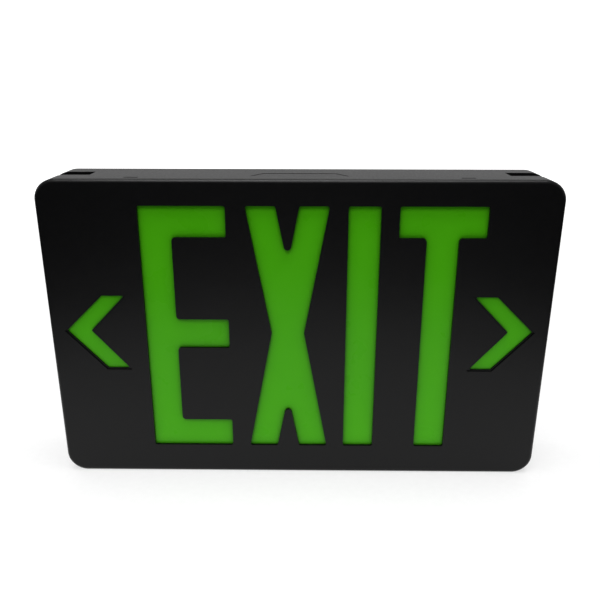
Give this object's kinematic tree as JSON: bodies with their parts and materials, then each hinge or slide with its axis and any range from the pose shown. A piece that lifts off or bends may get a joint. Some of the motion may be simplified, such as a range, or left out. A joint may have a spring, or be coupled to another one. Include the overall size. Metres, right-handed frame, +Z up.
{
  "type": "emergency exit light",
  "caption": "Slim wall-mounted emergency exit light: stencil face with exit legend and direction arrows over a green panel, moulded housing, back plate, light bars, battery and test button.",
  "frame": {"origin": "under the middle of the sign, at its base", "axes": "+X to the reader's right, +Y from the face to the wall side, +Z up"},
  "size_m": [0.2952, 0.042, 0.186],
  "materials": {
    "housing_black": "fine moulded texture",
    "green_panel": "translucent sheet, satin",
    "screw_steel": "zinc plated",
    "board_green": "solder mask",
    "core_steel": "varnished laminations",
    "winding_tape": "polyester tape",
    "capacitor_sleeve": "shrink sleeve",
    "resistor_coat": "lacquer",
    "chip_black": "moulded epoxy",
    "terminal_green": "moulded",
    "connector_white": "moulded nylon",
    "battery_sleeve": "shrink sleeve",
    "strap_steel": "zinc plated",
    "board_white": "white solder mask",
    "light_source": "moulded",
    "button_red": "moulded",
    "spring_steel": "drawn wire",
    "switch_black": "moulded",
    "lamp_green": "clear tinted epoxy",
    "wire_red": "wire insulation",
    "wire_white": "wire insulation",
    "wire_yellow": "wire insulation"
  },
  "bodies": {
    "sign": {"face_plate": "housing_black", "housing_frame": "housing_black", "back_plate": "housing_black", "colour_panel": "green_panel", "back_plate_screws": "screw_steel", "circuit_board": "board_green", "board_screws": "screw_steel", "strap_screws": "screw_steel", "light_bar_screws": "screw_steel", "test_board_screws": "screw_steel", "transformer_core": "core_steel", "transformer_coil": "winding_tape", "capacitors": "capacitor_sleeve", "resistors": "resistor_coat", "charge_regulator": "chip_black", "supply_terminal": "terminal_green", "battery_socket": "connector_white", "battery_plug": "connector_white", "battery_pack": "battery_sleeve", "battery_strap": "strap_steel", "lower_light_bar": "board_white", "upper_light_bar": "board_white", "lower_lights": "light_source", "upper_lights": "light_source", "button_spring": "spring_steel", "test_switch": "switch_black", "pilot_lamp": "lamp_green", "test_board": "board_green", "battery_leads": "wire_red", "light_leads": "wire_white", "switch_leads": "wire_yellow"},
    "button": {"test_button": "button_red"}
  },
  "joints": [
    {"name": "test_press", "type": "slide", "parent": "sign", "child": "button", "axis": [-1, 0, 0], "range_m": [0, 0.0015], "stiffness_N_per_m": 400, "deforming": ["button_spring"]}
  ]
}
